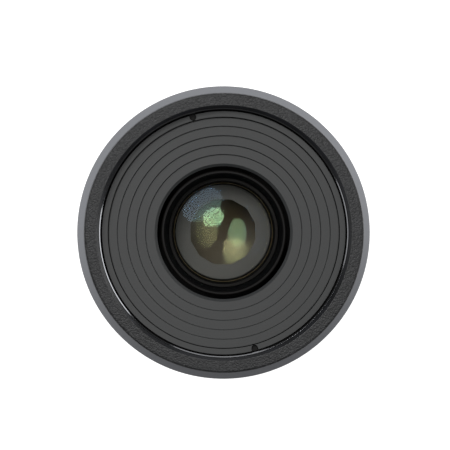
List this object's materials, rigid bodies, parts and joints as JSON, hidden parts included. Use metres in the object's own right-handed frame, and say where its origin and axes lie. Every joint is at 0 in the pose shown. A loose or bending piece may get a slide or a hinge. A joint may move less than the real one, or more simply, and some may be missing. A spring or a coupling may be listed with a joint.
{
  "type": "cine lens",
  "caption": "Cine prime lens with geared focus and iris rings, stepped front baffle, moving optical cell, twelve-blade iris and four-lug mount.",
  "frame": {"origin": "centre of the mount flange's seat plane, on the optical axis", "axes": "+Z along the optical axis towards the subject, +Y up as the picture shows the lens, +X to the picture's right"},
  "size_m": [0.1008, 0.1008, 0.097],
  "materials": {
    "black_anodised_aluminium": "satin black anodised",
    "wrinkle_black_coat": "fine wrinkle black powder coat",
    "satin_black_aluminium": "bead-blasted black anodised",
    "matt_black_retainer": "matt black anodised",
    "hard_anodised_aluminium": "hard anodised",
    "grey_anodised_aluminium": "satin grey anodised",
    "gear_black_anodised": "black anodised, teeth edges bright",
    "stainless_steel": "turned stainless steel",
    "screw_steel": "machined steel",
    "brass": "turned brass",
    "coated_glass": "multicoated optical glass",
    "blade_steel": "matt grey coated spring steel"
  },
  "bodies": {
    "housing": {"rear_barrel": "black_anodised_aluminium", "guide_barrel": "hard_anodised_aluminium", "index_band": "black_anodised_aluminium", "front_ring": "wrinkle_black_coat", "front_baffle": "satin_black_aluminium", "mount_flange": "stainless_steel", "mount_shim": "brass", "mount_screws": "screw_steel", "rear_baffle": "black_anodised_aluminium", "front_ring_screws": "screw_steel", "barrel_screws": "screw_steel", "focus_stop_pin": "screw_steel"},
    "focus_ring": {"focus_ring": "grey_anodised_aluminium", "focus_gear": "gear_black_anodised", "cam_sleeve": "brass", "focus_ring_screws": "screw_steel", "focus_stop_lug": "screw_steel"},
    "optical_cell": {"front_cell": "black_anodised_aluminium", "rear_cell": "black_anodised_aluminium", "front_retainer": "matt_black_retainer", "inner_retainer": "black_anodised_aluminium", "lens_1": "coated_glass", "lens_2": "coated_glass", "lens_3": "coated_glass", "lens_4": "coated_glass", "lens_5": "coated_glass", "lens_6": "coated_glass", "rear_spacer": "black_anodised_aluminium", "rear_retainer": "black_anodised_aluminium", "iris_pivot_plate": "black_anodised_aluminium", "cell_screws": "screw_steel", "cam_followers": "screw_steel"},
    "iris_ring": {"iris_ring": "black_anodised_aluminium", "iris_gear": "gear_black_anodised", "iris_drive_pin": "screw_steel"},
    "iris_cam": {"iris_cam_ring": "brass"},
    "iris_blade_01": {"iris_blade_01": "blade_steel"},
    "iris_blade_02": {"iris_blade_02": "blade_steel"},
    "iris_blade_03": {"iris_blade_03": "blade_steel"},
    "iris_blade_04": {"iris_blade_04": "blade_steel"},
    "iris_blade_05": {"iris_blade_05": "blade_steel"},
    "iris_blade_06": {"iris_blade_06": "blade_steel"},
    "iris_blade_07": {"iris_blade_07": "blade_steel"},
    "iris_blade_08": {"iris_blade_08": "blade_steel"},
    "iris_blade_09": {"iris_blade_09": "blade_steel"},
    "iris_blade_10": {"iris_blade_10": "blade_steel"},
    "iris_blade_11": {"iris_blade_11": "blade_steel"},
    "iris_blade_12": {"iris_blade_12": "blade_steel"}
  },
  "joints": [
    {"name": "focus_turn", "type": "hinge", "parent": "housing", "child": "focus_ring", "pos_m": [0, 0, 0.055], "axis": [0, 0, 1], "range_deg": [0, 300]},
    {"name": "cell_travel", "type": "slide", "parent": "housing", "child": "optical_cell", "axis": [0, 0, 1], "range_m": [0, 0.00801]},
    {"name": "iris_turn", "type": "hinge", "parent": "housing", "child": "iris_ring", "pos_m": [0, 0, 0.025], "axis": [0, 0, 1], "range_deg": [-14.3, 46.9]},
    {"name": "cam_turn", "type": "hinge", "parent": "optical_cell", "child": "iris_cam", "pos_m": [0, 0, 0.041], "axis": [0, 0, 1], "range_deg": [-14.4, 47]},
    {"name": "blade_01_swing", "type": "hinge", "parent": "optical_cell", "child": "iris_blade_01", "pos_m": [0.013, -0.01775, 0.045], "axis": [0, 0, 1], "range_deg": [-8.25, 26.9]},
    {"name": "blade_02_swing", "type": "hinge", "parent": "optical_cell", "child": "iris_blade_02", "pos_m": [0.02013, -0.00887, 0.045], "axis": [0, 0, 1], "range_deg": [-8.25, 26.9]},
    {"name": "blade_03_swing", "type": "hinge", "parent": "optical_cell", "child": "iris_blade_03", "pos_m": [0.02187, 0.00238, 0.045], "axis": [0, 0, 1], "range_deg": [-8.25, 26.9]},
    {"name": "blade_04_swing", "type": "hinge", "parent": "optical_cell", "child": "iris_blade_04", "pos_m": [0.01775, 0.013, 0.045], "axis": [0, 0, 1], "range_deg": [-8.25, 26.9]},
    {"name": "blade_05_swing", "type": "hinge", "parent": "optical_cell", "child": "iris_blade_05", "pos_m": [0.00887, 0.02013, 0.045], "axis": [0, 0, 1], "range_deg": [-8.25, 26.9]},
    {"name": "blade_06_swing", "type": "hinge", "parent": "optical_cell", "child": "iris_blade_06", "pos_m": [-0.00238, 0.02187, 0.045], "axis": [0, 0, 1], "range_deg": [-8.25, 26.9]},
    {"name": "blade_07_swing", "type": "hinge", "parent": "optical_cell", "child": "iris_blade_07", "pos_m": [-0.013, 0.01775, 0.045], "axis": [0, 0, 1], "range_deg": [-8.25, 26.9]},
    {"name": "blade_08_swing", "type": "hinge", "parent": "optical_cell", "child": "iris_blade_08", "pos_m": [-0.02013, 0.00887, 0.045], "axis": [0, 0, 1], "range_deg": [-8.25, 26.9]},
    {"name": "blade_09_swing", "type": "hinge", "parent": "optical_cell", "child": "iris_blade_09", "pos_m": [-0.02187, -0.00238, 0.045], "axis": [0, 0, 1], "range_deg": [-8.25, 26.9]},
    {"name": "blade_10_swing", "type": "hinge", "parent": "optical_cell", "child": "iris_blade_10", "pos_m": [-0.01775, -0.013, 0.045], "axis": [0, 0, 1], "range_deg": [-8.25, 26.9]},
    {"name": "blade_11_swing", "type": "hinge", "parent": "optical_cell", "child": "iris_blade_11", "pos_m": [-0.00887, -0.02013, 0.045], "axis": [0, 0, 1], "range_deg": [-8.25, 26.9]},
    {"name": "blade_12_swing", "type": "hinge", "parent": "optical_cell", "child": "iris_blade_12", "pos_m": [0.00238, -0.02187, 0.045], "axis": [0, 0, 1], "range_deg": [-8.25, 26.9]}
  ],
  "couplings": [
    {"joint": "cell_travel", "follows": "focus_turn", "m_per_rad": 0.0015279},
    {"joint": "cam_turn", "follows": "iris_turn", "ratio": 1},
    {"joint": "blade_01_swing", "follows": "iris_turn", "ratio": 0.57143},
    {"joint": "blade_02_swing", "follows": "iris_turn", "ratio": 0.57143},
    {"joint": "blade_03_swing", "follows": "iris_turn", "ratio": 0.57143},
    {"joint": "blade_04_swing", "follows": "iris_turn", "ratio": 0.57143},
    {"joint": "blade_05_swing", "follows": "iris_turn", "ratio": 0.57143},
    {"joint": "blade_06_swing", "follows": "iris_turn", "ratio": 0.57143},
    {"joint": "blade_07_swing", "follows": "iris_turn", "ratio": 0.57143},
    {"joint": "blade_08_swing", "follows": "iris_turn", "ratio": 0.57143},
    {"joint": "blade_09_swing", "follows": "iris_turn", "ratio": 0.57143},
    {"joint": "blade_10_swing", "follows": "iris_turn", "ratio": 0.57143},
    {"joint": "blade_11_swing", "follows": "iris_turn", "ratio": 0.57143},
    {"joint": "blade_12_swing", "follows": "iris_turn", "ratio": 0.57143}
  ]
}
